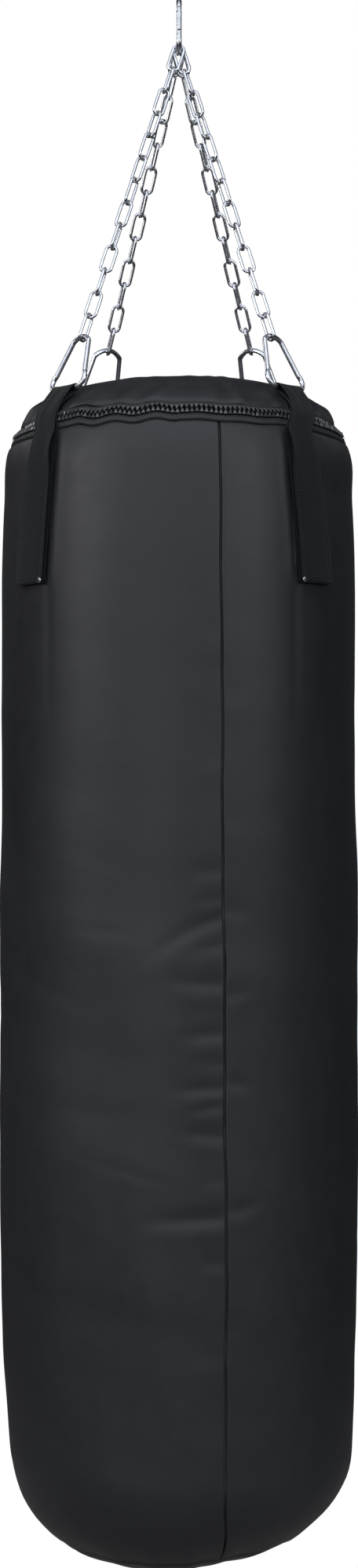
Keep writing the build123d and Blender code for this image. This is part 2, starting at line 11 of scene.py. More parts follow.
import bpy
import numpy as np
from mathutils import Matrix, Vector

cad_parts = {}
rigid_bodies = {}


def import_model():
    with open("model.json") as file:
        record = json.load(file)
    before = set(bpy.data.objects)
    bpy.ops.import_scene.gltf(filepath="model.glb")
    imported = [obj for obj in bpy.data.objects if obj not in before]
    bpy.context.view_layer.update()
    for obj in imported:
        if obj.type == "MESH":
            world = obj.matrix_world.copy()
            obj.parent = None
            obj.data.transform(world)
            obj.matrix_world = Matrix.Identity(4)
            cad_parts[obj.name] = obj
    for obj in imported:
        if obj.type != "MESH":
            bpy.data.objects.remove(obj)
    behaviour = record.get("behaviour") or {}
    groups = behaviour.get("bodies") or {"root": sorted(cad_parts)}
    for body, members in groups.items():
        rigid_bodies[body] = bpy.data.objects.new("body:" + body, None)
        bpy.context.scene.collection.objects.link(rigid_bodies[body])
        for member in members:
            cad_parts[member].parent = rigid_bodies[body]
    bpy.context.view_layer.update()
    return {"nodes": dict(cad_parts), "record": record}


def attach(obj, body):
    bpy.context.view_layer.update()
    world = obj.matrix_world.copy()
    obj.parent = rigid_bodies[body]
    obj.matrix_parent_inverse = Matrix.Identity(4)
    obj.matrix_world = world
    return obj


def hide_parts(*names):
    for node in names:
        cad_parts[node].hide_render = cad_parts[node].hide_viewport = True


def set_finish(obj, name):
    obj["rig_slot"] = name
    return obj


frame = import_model()

MM = 0.001
SEED = 7

# --- outline of the bag ---

CROWN_Z = -382.4
UPPER_ARCS = [(450.0, 16.0), (75.0, 50.0), (30.0, 70.0), (160.0, 86.0), (1800.0, 90.0)]
SIDE_STRAIGHT = 583.6
LOWER_ARCS = [(5000.0, 93.0), (100.0, 135.0), (135.0, 165.0)]
OUTLINE_STEP = 0.5
SIDE_RADIUS = 179.7
# each strap: bearing of its ring, where it lies at the shoulder, and where its lower end is sewn
STRAPS = {
    "front_left": (-52.6, -48.4, -52.8),
    "front_right": (49.6, 42.0, 46.8),
    "rear_right": (139.5, 139.5, 139.5),
    "rear_left": (219.5, 219.5, 219.5),
}
SEAM_BEARING = 12.9


def outline_samples():
    """The outline as rows of (arc length, r, z, tilt in radians), in millimetres, crown to bottom."""
    rows = []
    centre_r = 0.0
    centre_z = CROWN_Z - UPPER_ARCS[0][0]
    radius = UPPER_ARCS[0][0]
    tilt = 0.0
    run = 0.0
    arcs = UPPER_ARCS + LOWER_ARCS
    for arc in arcs + [None]:
        if arc is None:
            end_r = centre_r + radius * sin(radians(tilt))
            end_z = centre_z + radius * cos(radians(tilt))
            next_radius = end_r / sin(radians(tilt))
            end = 180.0
            centre_r = 0.0
            centre_z = end_z - next_radius * cos(radians(tilt))
        else:
            next_radius, end = arc
            centre_r += (radius - next_radius) * sin(radians(tilt))
            centre_z += (radius - next_radius) * cos(radians(tilt))
        if arc == LOWER_ARCS[0]:
            steps = int(SIDE_STRAIGHT / OUTLINE_STEP)
            for k in range(1, steps):
                drop = SIDE_STRAIGHT * k / steps
                rows.append((run + drop, centre_r + next_radius, centre_z - drop, pi / 2))
            run += SIDE_STRAIGHT
            centre_z -= SIDE_STRAIGHT
        length = next_radius * radians(end - tilt)
        steps = max(4, int(length / OUTLINE_STEP))
        for k in range(steps):
            at = radians(tilt + (end - tilt) * k / steps)
            rows.append((run + length * k / steps, centre_r + next_radius * sin(at),
                         centre_z + next_radius * cos(at), at))
        run += length
        radius = next_radius
        tilt = end
    rows.append((run, 0.0, centre_z - radius, pi))
    return np.array(rows)


SAMPLES = outline_samples()
TOTAL_RUN = SAMPLES[-1, 0]


def outline(run, depth=0.0):
    """r, z and tilt at an arc length from the crown and a depth below the outline."""
    r = np.interp(run, SAMPLES[:, 0], SAMPLES[:, 1])
    z = np.interp(run, SAMPLES[:, 0], SAMPLES[:, 2])
    tilt = np.interp(run, SAMPLES[:, 0], SAMPLES[:, 3])
    return r - depth * np.sin(tilt), z - depth * np.cos(tilt), tilt


def run_at_tilt(tilt):
    """The arc length at which the outline's normal has a tilt in degrees."""
    return float(np.interp(radians(tilt), SAMPLES[:, 3], SAMPLES[:, 0]))


def run_at_height(z):
    """The arc length at which the outline passes a height."""
    return float(np.interp(-z, -SAMPLES[:, 2], SAMPLES[:, 0]))


def turn(r, z, bearing):
    """Points in metres from radii, heights (mm) and bearings (degrees)."""
    b = np.radians(bearing)
    r, z, b = np.broadcast_arrays(r, z, b)
    return np.stack([r * np.sin(b), -r * np.cos(b), z], axis=-1) * MM


def gap(bearing, centre):
    """The signed angle in degrees from a bearing to another."""
    return (np.asarray(bearing) - centre + 180.0) % 360.0 - 180.0


def smooth(value, low, high):
    """A smooth step from 0 at low to 1 at high."""
    t = np.clip((np.asarray(value, float) - low) / (high - low), 0, 1)
    return t * t * (3 - 2 * t)


def zip_shift(bearing):
    """How far the zip lies down the slope from its level ring, in mm: it dips to the sides and waves."""
    away = gap(bearing, 0.0)
    side = np.abs(away)
    shift = 1.2 + 1.5 * smooth(side, 5, 25) + np.where(away < 0, 6.4, 3.8) * smooth(side, 38, 60)
    crest = -np.cos(2 * pi * (away + 7.5) / 14.2)
    shift = shift + crest * np.where(away < 0, 1.7, 0.55) * smooth(side, -6, 6) * (1 - smooth(side, 34, 44))
    return shift * (1 - smooth(side, 85, 135))


def shoulder_sink(bearing, run):
    """How far the shoulder falls in at the two sides, in mm."""
    side = np.abs(gap(bearing, 0.0))
    _, _, tilt = outline(run)
    tilt = np.degrees(tilt)
    there = smooth(side, 52, 74) * (1 - smooth(side, 112, 132))
    return 5.5 * there * smooth(tilt, 36, 52) * (1 - smooth(tilt, 66, 80))


def lay(run, bearing, depth=0.0):
    """r and z of a point of the skin, with the band of the zip carried along its wave."""
    reach = smooth(run, ZIP_REACH[0], ZIP_REACH[1]) * (1 - smooth(run, ZIP_REACH[2], ZIP_REACH[3]))
    moved = run + zip_shift(bearing) * reach
    r, z, _ = outline(moved, depth + shoulder_sink(bearing, moved))
    return r, z


def seam_bearing(z):
    """Where the upright seam lies at a height: it leans a little on its way down."""
    down = -np.asarray(z, float)
    return SEAM_BEARING + 2.0 * smooth(down, 420, 1560) + 5.5 * smooth(down, 1470, 1556)


# --- shape of the filled skin ---

LUMPS = np.random.default_rng(SEED).uniform(0, 1, (14, 4))


def swell(bearing, run):
    """How far the filled bag stands proud of its outline, in mm: low lumps and the settled bottom."""
    b = np.radians(bearing)
    _, z, tilt = outline(run)
    total = np.zeros(np.broadcast(b, z).shape)
    for turns, pitch, phase, slant in LUMPS:
        waves = 1 + int(turns * 6)
        height = 70 + 260 * pitch
        across = np.sin(waves * b + 2 * pi * (z / height + slant))
        turned = waves * 0.5 * b * (waves % 2 == 0)
        total = total + 0.16 * across * np.cos(2 * pi * phase + z / (height * 1.7) + turned)
    calm = smooth(-z, 600, 720)
    total = total * (0.25 + 0.75 * calm)
    total = total * (1 - smooth(np.degrees(tilt), 150, 178))
    low = smooth(-z, 1300, 1480) * (1 - smooth(np.degrees(tilt), 100, 125))
    total = total + low * (1.9 * np.sin(b) - 1.1)
    slim = smooth(-z, 455, 500) * (1 - smooth(-z, 800, 900)) * smooth(np.abs(np.sin(b)), 0.5, 1.0)
    return total - slim * (2.3 + 0.6 * np.sin(b))


def sag(bearing, run):
    """How far the filling presses the bottom down on the left and the corner out on the right, in mm."""
    _, _, tilt = outline(run)
    tilt = np.degrees(tilt)
    right = smooth(np.sin(np.radians(bearing)), -0.12, 0.55)
    corner = smooth(tilt, 93, 112) * (1 - smooth(tilt, 120, 140))
    return 7.5 * smooth(tilt, 112, 158) * (1 - 0.75 * right) + 1.8 * corner * right


# soft horizontal dents beside the seam: height, reach in degrees, side of the seam, depth, half width
# and the drop of the far end
SEAM_DENTS = [
    (-868, 12, -1, 1.5, 7, 2), (-893, 9, -1, 1.2, 6, 3), (-912, 26, -1, 2.3, 7, 42),
    (-938, 12, -1, 1.3, 6, 6), (-975, 18, -1, 2.5, 7, -3), (-1022, 14, -1, 2.2, 6, 4),
    (-1050, 9, -1, 1.1, 6, -2), (-1073, 17, -1, 2.6, 6, 3), (-1090, 13, -1, 1.9, 5, 6),
    (-1119, 15, -1, 2.2, 6, -4), (-1160, 8, -1, 1.2, 6, 2), (-1196, 27, -1, 3.2, 7, 4),
    (-1240, 10, -1, 1.3, 6, -2), (-905, 9, 1, 1.1, 7, 4), (-985, 10, 1, 1.3, 7, -5),
    (-1068, 9, 1, 1.2, 6, 5), (-1190, 13, 1, 1.7, 7, -6), (-1300, 9, 1, 1.0, 8, 3),
    (-760, 8, -1, 0.8, 8, 2), (-700, 9, 1, 0.7, 8, -3), (-1330, 11, -1, 1.1, 7, 3),
    (-640, 7, -1, 0.7, 8, 2), (-820, 8, 1, 0.8, 7, 2),
]


def seam_dents(bearing, z):
    """The puckers that the vertical seam draws into the skin."""
    away = gap(bearing, seam_bearing(z))
    total = np.zeros(np.broadcast(bearing, z).shape)
    for height, reach, side, depth, half, drop in SEAM_DENTS:
        along = away * side
        share = np.clip(along / reach, 0, 1.6)
        offset = z - (height - drop * share ** 1.3)
        edge = np.where(offset > 0, 1.35, 0.8) * half
        fade = smooth(along, -0.6, 1.6) * (1 - smooth(along, reach * 0.35, reach * 1.15))
        total -= 0.37 * depth * np.exp(-(offset / edge) ** 2) * fade
        total += 0.15 * depth * np.exp(-((offset + 2.1 * half) / (1.3 * half)) ** 2) * fade
    return total


def scattered_dents(bearing, z):
    """Faint creases elsewhere on the skin, mostly level, with a few that slant."""
    draw = np.random.default_rng(SEED + 1)
    total = np.zeros(np.broadcast(bearing, z).shape)
    for _ in range(34):
        centre = draw.uniform(40, 345)
        height = draw.uniform(-1380, -640)
        reach = draw.uniform(7, 22)
        depth = draw.uniform(0.1, 0.45)
        half = draw.uniform(5, 11)
        slope = draw.uniform(-1.2, 1.2)
        away = gap(bearing, centre)
        offset = z - height - slope * away
        total -= depth * np.exp(-(offset / half) ** 2 - (away / reach) ** 2)
    return total


# half the webbing's width, spread out and gathered, and the height of a strap's foot
WEB_HALF = 22.7
GATHERED_HALF = 16.9
FOOT_Z = -585.0


def strap_half_width(z, on_loop):
    """Half the webbing's width: gathered between the ring's corners, full on the side of the bag."""
    heights = [-600, -580, -540, -494, -478, -452, -437, -410, -380]
    halves = [WEB_HALF, 22.6, 21.4, 19.8, 18.6, 16.6, 16.3, 16.6, GATHERED_HALF]
    width = np.interp(z, heights, halves)
    return np.where(on_loop, GATHERED_HALF, width)


def inner_side(bearing):
    """Which edge of a strap faces the middle of the bag's front or back: 1 at larger bearings, else -1."""
    return 1.0 if (abs(gap(bearing, 0)) < 90) == (sin(radians(bearing)) < 0) else -1.0


def strap_draws(bearing, z):
    """Shallow folds that hang from the straps' lower ends, and the dip of the skin along their edges."""
    total = np.zeros(np.broadcast(bearing, z).shape)
    for _, shoulder, foot in STRAPS.values():
        centre = np.interp(-z, [445.0, -FOOT_Z], [shoulder, foot])
        away = gap(bearing, centre)
        below = smooth(-z, 575, 615) * (1 - smooth(-z, 640, 760))
        for edge in (-8.2, 8.2):
            total -= 0.7 * np.exp(-((away - edge) / 1.8) ** 2) * below
        beside = smooth(-z, 436, 462) * (1 - smooth(-z, 582, 596))
        half = strap_half_width(z, False)
        offset = (np.abs(away) * pi / 180 * SIDE_RADIUS) - half
        strength = np.where(away * inner_side(foot) > 0, 2.7, 1.4)
        total -= strength * np.exp(-((offset - 0.3) / 2.6) ** 2) * beside
        total += 0.45 * np.exp(-((offset - 8.0) / 4.0) ** 2) * beside
    return total


def seam_groove(bearing, run):
    """The tight vertical seam: a narrow groove with a soft roll on each side."""
    r, z, _ = outline(run)
    across = np.radians(gap(bearing, seam_bearing(z))) * np.maximum(r, 60)
    wander = 0.5 * np.sin(z / 41.0) + 0.3 * np.sin(z / 17.0 + 1)
    across = across - wander
    pucker = 1 + 0.25 * np.sin(z / 6.3) * np.sin(z / 29.0)
    return -2.6 * np.exp(-(across / 1.05) ** 2) * pucker + 0.12 * np.exp(-((np.abs(across) - 4.5) / 3.0) ** 2)


# --- mesh helpers ---


def add_to_scene(name, data):
    """A new object that holds a mesh, a lamp or a camera."""
    item = bpy.data.objects.new(name, data)
    bpy.context.scene.collection.objects.link(item)
    return item


def make_object(name, points, faces, body, slot, smooth_shade=True, attribute=None):
    """A new mesh piece that rides on a body."""
    mesh = bpy.data.meshes.new(name)
    mesh.from_pydata(np.asarray(points, float).reshape(-1, 3).tolist(), [], faces)
    mesh.validate()
    if attribute is not None:
        store = mesh.attributes.new("lay", "FLOAT_VECTOR", "POINT")
        store.data.foreach_set("vector", np.asarray(attribute, np.float32).reshape(-1))
    mesh.polygons.foreach_set("use_smooth", [smooth_shade] * len(mesh.polygons))
    mesh.update()
    piece = add_to_scene(name, mesh)
    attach(piece, body)
    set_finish(piece, slot)
    return piece


def grid_faces(rows, columns, wrap_rows, wrap_columns):
    """Quads over a grid of points, closed either way if asked."""
    i = np.arange(rows if wrap_rows else rows - 1)
    j = np.arange(columns if wrap_columns else columns - 1)
    a, b = np.meshgrid(i, j, indexing="ij")
    a2 = (a + 1) % rows
    b2 = (b + 1) % columns
    quads = np.stack([a * columns + b, a2 * columns + b, a2 * columns + b2, a * columns + b2], axis=-1)
    return quads.reshape(-1, 4).tolist()


def end_caps(rows, columns):
    """Faces that close the two ends of a tube of closed rings."""
    first = list(range(columns))
    last = [(rows - 1) * columns + k for k in range(columns)]
    return [first, last[::-1]]


def edge_roll(run, start, end, depth, width):
    """How far a skin rolls in at its sewn edges, in mm."""
    roll = np.zeros_like(np.asarray(run, float))
    if start is not None:
        roll = roll - depth * np.exp(-((run - start) / width) ** 2)
    if end is not None:
        roll = roll - depth * np.exp(-((end - run) / width) ** 2)
    return roll


def ring_skin(name, slot, start, end, rows, columns, shape, thick, inner_rows, bearings=None):
    """A closed shell between two arc lengths: shape(bearing, run) gives its swell in mm."""
    whole = bearings is None
    if whole:
        bearings = np.arange(columns) * 360.0 / columns
    outer_runs = start + (end - start) * rows
    count = len(outer_runs)
    grid_run, grid_bearing = np.meshgrid(outer_runs, bearings, indexing="ij")
    lift = shape(grid_bearing, grid_run)
    outer_r, outer_z = lay(grid_run, grid_bearing, -lift)
    picks = np.unique(np.linspace(0, count - 1, inner_rows).astype(int))[::-1]
    reach = max(1, count // inner_rows)
    inner_lift = np.stack([lift[max(0, k - reach):k + reach + 1].min(axis=0) for k in picks])
    inner_r, inner_z = lay(grid_run[picks], grid_bearing[picks], thick - inner_lift)
    outer = turn(outer_r, outer_z, grid_bearing)
    inner = turn(inner_r, inner_z, grid_bearing[picks])
    points = np.concatenate([outer, inner])
    total_rows = points.shape[0]
    faces = grid_faces(total_rows, len(bearings), True, whole)
    if not whole:
        left = [k * len(bearings) for k in range(total_rows)]
        right = [k * len(bearings) + len(bearings) - 1 for k in range(total_rows)]
        faces += [left, right[::-1]]
    return make_object(name, points, faces, "bag", slot)


def cap_skin(name, slot, edge, top, rows, columns, shape, thick=2.0):
    """A closed shell that covers a pole of the bag, from the pole to an arc length."""
    runs = np.abs(top - (top - edge) * rows) if top else edge * rows
    bearings = np.arange(columns) * 360.0 / columns
    grid_run, grid_bearing = np.meshgrid(runs, bearings, indexing="ij")
    lift = shape(grid_bearing, grid_run)
    outer_r, outer_z = lay(grid_run, grid_bearing, -lift)
    inner_r, inner_z = lay(grid_run[::-1], grid_bearing[::-1], thick - lift[::-1])
    inner_r = np.maximum(inner_r, 0)
    outer = turn(outer_r, outer_z, grid_bearing)
    inner = turn(inner_r, inner_z, grid_bearing[::-1])
    pole_run = top if top else 0.0
    pole_lift = float(np.mean(lift[0]))
    pole_tilt = pi if top else 0.0
    pole_z = np.interp(pole_run, SAMPLES[:, 0], SAMPLES[:, 2])
    outer_pole = np.array([[0, 0, (pole_z + pole_lift * cos(pole_tilt)) * MM]])
    inner_pole = np.array([[0, 0, (pole_z + (pole_lift - thick) * cos(pole_tilt)) * MM]])
    points = np.concatenate([outer_pole, outer.reshape(-1, 3), inner.reshape(-1, 3), inner_pole])
    total_rows = 2 * len(runs)
    faces = [[1 + k for k in quad] for quad in grid_faces(total_rows, columns, False, True)]
    last = 1 + (total_rows - 1) * columns
    tail = len(points) - 1
    for k in range(columns):
        k2 = (k + 1) % columns
        faces.append([0, 1 + k, 1 + k2])
        faces.append([tail, last + k2, last + k])
    if top:
        faces = [face[::-1] for face in faces]
    return make_object(name, points, faces, "bag", slot)


def stitch_line(name, places, tangents, normals, length, thick):
    """One mesh of separate sewn stitches, each a short rounded thread that dips at its ends."""
    sides = 6
    profile = [(-0.5, 0.25, -0.35), (-0.3, 0.9, 0.05), (0.0, 1.0, 0.22), (0.3, 0.9, 0.05), (0.5, 0.25, -0.35)]
    points = []
    faces = []
    for place, tangent, normal in zip(places, tangents, normals):
        side = np.cross(normal, tangent)
        base = len(points)
        for shift, girth, rise in profile:
            centre = place + tangent * shift * length * MM + normal * rise * thick * MM
            for k in range(sides):
                angle = 2 * pi * k / sides
                spread = side * cos(angle) * 0.62 + normal * sin(angle) * 0.45
                points.append(centre + spread * girth * thick * MM)
        rows = len(profile)
        faces += [[base + k for k in quad] for quad in grid_faces(rows, sides, False, True)]
        faces += [[base + k for k in cap] for cap in end_caps(rows, sides)]
    make_object(name, points, [face[::-1] for face in faces], "bag", "webbing")


LEVEL_PITCH = 4.2


def unit(vectors):
    """Vectors scaled to length one."""
    return vectors / np.maximum(np.linalg.norm(vectors, axis=-1, keepdims=True), 1e-12)


def level_stitches(name, run, shape):
    """Stitches that run round the bag at one arc length."""
    r, _, tilt = outline(run)
    count = int(2 * pi * float(r) / LEVEL_PITCH)
    bearings = 360 * (np.arange(count) + 0.5) / count
    lift = shape(bearings, np.full(count, run))
    sr, sz = lay(np.full(count, run), bearings, -lift - 0.12)
    places = turn(sr, sz, bearings)
    b = np.radians(bearings)
    tangents = np.stack([np.cos(b), np.sin(b), 0 * b], axis=-1)
    normals = np.stack([np.sin(b) * sin(tilt), -np.cos(b) * sin(tilt), 0 * b + cos(tilt)], axis=-1)
    stitch_line(name, places, tangents, normals, 3.0, 0.55)


# --- skins of the bag ---

COVER_START = run_at_tilt(73.1) - 2.4
COVER_END = run_at_tilt(150.0)
BOTTOM_START = run_at_tilt(150.1)
TOP_END = run_at_tilt(46.4)
BIND_UP = (run_at_tilt(46.5), run_at_tilt(50.2))
BIND_LOW = (run_at_tilt(68.4), run_at_tilt(73.1) - 2.5)
PATCH = (run_at_tilt(50.4), run_at_tilt(68.2))
ZIP_START = 229.0
ZIP_END = 561.0
ZIP_REACH = (TOP_END - 55, TOP_END - 8, COVER_START + 12, COVER_START + 110)


def over_patch(bearing, z):
    """1 where a strap's backing patch lies close behind the cover, else 0."""
    behind = np.zeros(np.broadcast(bearing, z).shape)
    for _, _, foot in STRAPS.values():
        across = np.abs(gap(bearing, foot)) * pi / 180 * SIDE_RADIUS
        behind = np.maximum(behind, 1 - smooth(across, 24.4, 26.5))
    return behind * smooth(-z, 455, 462) * (1 - smooth(-z, 593, 597))


def cover_shape(bearing, run):
    """The swell of the cover tube."""
    _, z, _ = outline(run)
    lift = swell(bearing, run) + seam_dents(bearing, z) + scattered_dents(bearing, z)
    lift += strap_draws(bearing, z) + seam_groove(bearing, run) + sag(bearing, run)
    lift += edge_roll(run, COVER_START, None, 1.6, 1.5) + edge_roll(run, None, COVER_END, 1.5, 3.0)
    ripple = np.sin(np.radians(bearing) * 23 + 2 * np.sin(np.radians(bearing) * 5))
    lift += 0.3 * ripple * np.exp(-((run - COVER_START - 7) / 8.0) ** 2)
    ripple_low = np.sin(np.radians(bearing) * 19 + 1.5 * np.sin(np.radians(bearing) * 4))
    lift += 0.7 * ripple_low * np.exp(-((COVER_END - run - 9) / 12.0) ** 2)
    return np.maximum(lift, -3.4 + 1.5 * over_patch(bearing, z))


def crowd(shares, at, density):
    """Places picked from at by shares of the whole: close together where the density is high."""
    total = np.concatenate([[0], np.cumsum((density[1:] + density[:-1]) / 2)])
    return np.interp(shares * total[-1], total, at)


def cover_rows():
    """Where the cover's rows lie, as shares of its length: close together where it creases."""
    at = np.linspace(0, 1, 2001)
    run = COVER_START + (COVER_END - COVER_START) * at
    _, z, _ = outline(run)
    density = 1.0 + 1.3 * smooth(-z, 840, 880) * (1 - smooth(-z, 1230, 1290))
    density += 4.0 * np.exp(-(run - COVER_START) / 7.0) + 3.0 * np.exp(-(COVER_END - run) / 7.0)
    return crowd(np.linspace(0, 1, 240), at, density)


def cover_bearings():
    """Bearings of the cover's columns: close together at the seam."""
    at = np.linspace(0, 360, 7201)
    away = np.abs(gap(at, SEAM_BEARING))
    density = 1.0 + 9.0 * np.exp(-(away / 1.1) ** 2) + 0.8 * np.exp(-(away / 22.0) ** 2)
    return crowd(np.arange(340) / 340.0, at, density)


def make_cover():
    """The long tube of the cover."""
    bearings = cover_bearings()
    rows = cover_rows()
    runs = COVER_START + (COVER_END - COVER_START) * rows
    grid_run, grid_bearing = np.meshgrid(runs, bearings, indexing="ij")
    grid_bearing = grid_bearing + seam_bearing(outline(grid_run)[1]) - SEAM_BEARING
    lift = cover_shape(grid_bearing, grid_run)
    outer_r, outer_z = lay(grid_run, grid_bearing, -lift)
    picks = np.unique(np.linspace(0, len(runs) - 1, 44).astype(int))[::-1]
    inner_lift = np.stack([lift[max(0, k - 6):k + 7].min(axis=0) for k in picks])
    inner_r, inner_z = lay(grid_run[picks], grid_bearing[picks], 1.9 - inner_lift)
    outer = turn(outer_r, outer_z, grid_bearing)
    inner = turn(inner_r, inner_z, grid_bearing[picks])
    points = np.concatenate([outer, inner])
    faces = grid_faces(points.shape[0], len(bearings), True, True)
    cover = make_object("bag_cover", points, faces, "bag", "cover_vinyl")
    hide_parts("cover_body")


FOLDS = np.random.default_rng(SEED + 2)
# ranges of each gather's bearing, half width in degrees, height, start and slant
FOLD_RANGES = [(0, 360), (2.2, 6.0), (0.4, 1.7), (0.25, 0.7), (-10, 60)]
TOP_FOLDS = [[FOLDS.uniform(*span) for span in FOLD_RANGES] for _ in range(44)]


def strap_calm(bearing):
    """1 away from the straps and 0 under them, where nothing may stand proud."""
    calm = np.ones(np.asarray(bearing, float).shape)
    for centre, _, _ in STRAPS.values():
        calm = calm * smooth(np.abs(gap(bearing, centre)), 8.5, 13.0)
    return calm


def top_shape(bearing, run):
    """The domed top: gathers that fan in from its sewn edge."""
    share = np.asarray(run) / TOP_END
    lift = 0.35 * swell(bearing, run) * share
    for centre, half, height, reach, slant in TOP_FOLDS:
        away = gap(bearing, centre + slant * (0.93 - share))
        lift = lift + height * np.exp(-(away / half) ** 2) * smooth(share, reach, 0.93)
    calm = strap_calm(bearing)
    lift = lift * calm - 0.5 * (1 - calm) * smooth(share, 0.55, 0.8)
    lift = lift + 1.6 * np.sin(np.radians(bearing) * 2 + 0.6) * (1 - share) * share * 2
    r, _, _ = outline(run)
    lift = lift + 4.5 * np.exp(-((r - 105) / 28) ** 2) * (1 - smooth(r, 122, 139))
    lift = lift + edge_roll(run, None, TOP_END, 1.6, 3.0)
    return np.maximum(lift, -1.2)


def bottom_shape(bearing, run):
    """The bottom panel: a soft bowl with a few radial draws at its seam."""
    share = (TOTAL_RUN - np.asarray(run)) / (TOTAL_RUN - BOTTOM_START)
    lift = swell(bearing, run) * smooth(share, 0.0, 0.5)
    draws = np.sin(np.radians(bearing) * 17 + 2 * np.sin(np.radians(bearing) * 3))
    lift = lift + 0.55 * draws * smooth(share, 0.45, 0.95)
    return lift + sag(bearing, run) + edge_roll(run, BOTTOM_START, None, 1.6, 3.0)


def make_top_and_bottom():
    """The domed top panel and the bottom panel."""
    rows = np.concatenate([np.linspace(0.03, 0.55, 16), np.linspace(0.57, 0.97, 34), [0.98, 0.99, 1.0]])
    top = cap_skin("top_cover", "cover_vinyl", TOP_END, None, rows, 420, top_shape)
    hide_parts("top_panel")
    low_rows = np.concatenate([np.linspace(0.03, 0.9, 36), np.linspace(0.92, 1.0, 8)])
    bottom = cap_skin("bottom_cover", "cover_vinyl", BOTTOM_START, TOTAL_RUN, low_rows, 240, bottom_shape)
    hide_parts("bottom_panel")


def binding_shape(span, depth):
    """The swell of a narrow sewn band, which puffs between its stitch lines."""
    def shape(bearing, run):
        share = (np.asarray(run) - span[0]) / (span[1] - span[0])
        puff = 0.2 * np.sin(pi * np.clip(share, 0, 1)) ** 0.5
        wave = 0.15 * np.sin(np.radians(bearing) * 61) * np.sin(np.radians(bearing) * 7)
        return 0.25 * swell(bearing, run) + puff + wave + edge_roll(run, span[0], span[1], depth, 0.8)
    return shape


def make_bindings():
    """The sewn bands on either side of the zip, with their stitches."""
    across = 0.5 - 0.5 * np.cos(np.linspace(0, pi, 11))
    upper_shape = binding_shape(BIND_UP, 0.7)
    lower_shape = binding_shape(BIND_LOW, 0.9)
    upper = ring_skin("binding_upper", "binding_vinyl", *BIND_UP, across, 420, upper_shape, 1.8, 6)
    lower = ring_skin("binding_lower", "binding_vinyl", *BIND_LOW, across, 420, lower_shape, 1.8, 6)
    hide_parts("zip_binding_upper")
    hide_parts("zip_binding_lower")
    level_stitches("stitches_binding_upper", sum(BIND_UP) / 2, upper_shape)
    level_stitches("stitches_binding_lower", BIND_LOW[0] + 2.2, lower_shape)
    level_stitches("stitches_cover_bottom", COVER_END - 5.5, cover_shape)
    bearings = np.linspace(ZIP_END + 1.6, ZIP_START + 360 - 1.6, 40)
    flat = binding_shape(PATCH, 0.6)
    patch = ring_skin("zip_patch", "binding_vinyl", *PATCH, across, 40, flat, 1.8, 6, bearings)
    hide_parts("zip_end_patch")


# --- zip teeth ---

TOOTH_PITCH = 4.6
TOOTH_PLAN = [(0.0, 2.05), (0.7, 2.0), (4.0, 0.55), (4.6, 0.3)]
TOOTH_TOP = 1.5
TOOTH_BASE = -1.6


def tooth_mesh():
    """One wedge-shaped tooth: x runs from its root to its tip, y along the zip, z out of the bag."""
    rim = [(x, y) for x, y in TOOTH_PLAN] + [(x, -y) for x, y in reversed(TOOTH_PLAN)]
    levels = [(TOOTH_BASE, 1.0), (TOOTH_TOP - 0.6, 1.0), (TOOTH_TOP - 0.15, 0.88), (TOOTH_TOP, 0.66)]
    points = []
    middle = 1.7
    for height, size in levels:
        for x, y in rim:
            points.append((middle + (x - middle) * (0.4 + 0.6 * size), y * size, height))
    count = len(rim)
    faces = grid_faces(len(levels), count, False, True) + end_caps(len(levels), count)
    return np.array(points), faces


def make_teeth(name, node, root_tilt, towards):
    """A row of teeth along the zip: towards is 1 if their tips point down the slope."""
    tooth, tooth_faces = tooth_mesh()
    draw = np.random.default_rng(SEED + 20 + towards)
    root_run = run_at_tilt(root_tilt)
    level_r, _, _ = outline(root_run)
    count = int(radians(ZIP_END - ZIP_START) * float(level_r) / TOOTH_PITCH)
    points = []
    faces = []
    for k in range(count):
        shift = 0.25 if towards > 0 else 0.75
        bearing = ZIP_START + (ZIP_END - ZIP_START) * (k + shift) / count
        b = radians(bearing)
        out = np.array([sin(b), -cos(b), 0.0])
        side = np.array([cos(b), sin(b), 0.0])
        r, z = lay(root_run, bearing)
        _, _, tilt = outline(root_run + float(zip_shift(bearing)) + towards * 2.2)
        loose = float(smooth(np.abs(gap(bearing, 180.0)), 38.0, 60.0))
        slope = float(tilt) + loose * draw.normal(0, 0.08)
        lean = loose * draw.normal(0, 0.1)
        normal = out * sin(slope) + np.array([0, 0, cos(slope)])
        down = out * cos(slope) - np.array([0, 0, sin(slope)])
        normal = unit(normal + side * lean)
        across = np.cross(down, normal) * towards
        origin = out * float(r) + np.array([0, 0, float(z)])
        place = tooth[:, 0:1] * down * towards + tooth[:, 1:2] * across + tooth[:, 2:3] * normal
        base = len(points) * len(tooth)
        points.append((origin + place) * MM)
        faces += [[base + v for v in face] for face in tooth_faces]
    piece = make_object(name, np.concatenate(points), faces, "bag", "zip_teeth", False)
    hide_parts(node)


def tape_shape(_bearing, run):
    """The tape's depth: shallow between the teeth, deeper where it runs in under the bindings."""
    tilt = np.degrees(outline(run)[2])
    return -1.5 - 0.9 * (1 - smooth(tilt, 49.4, 50.3)) - 0.9 * smooth(tilt, 68.0, 68.9)


def make_zip():
    """Both rows of teeth and the woven tape that shows between them."""
    make_teeth("teeth_upper", "zip_teeth_upper", 50.9, 1)
    make_teeth("teeth_lower", "zip_teeth_lower", 68.0, -1)
    across = np.linspace(0, 1, 17)
    bearings = np.linspace(ZIP_START, ZIP_END, 361)
    for name, low, high in (("tape_upper", 44.2, 59.0), ("tape_lower", 60.0, 74.3)):
        span = (run_at_tilt(low), run_at_tilt(high))
        tape = ring_skin(name, "zip_tape", *span, across, 361, tape_shape, 0.8, 9, bearings)
        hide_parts(f"zip_{name}")


# --- straps ---

BAR_RADIUS = 139.3
BAR_Z = -399.5
PLY = 1.45
LOOP_R = 3.35
STRAP_END_Z = -592.0
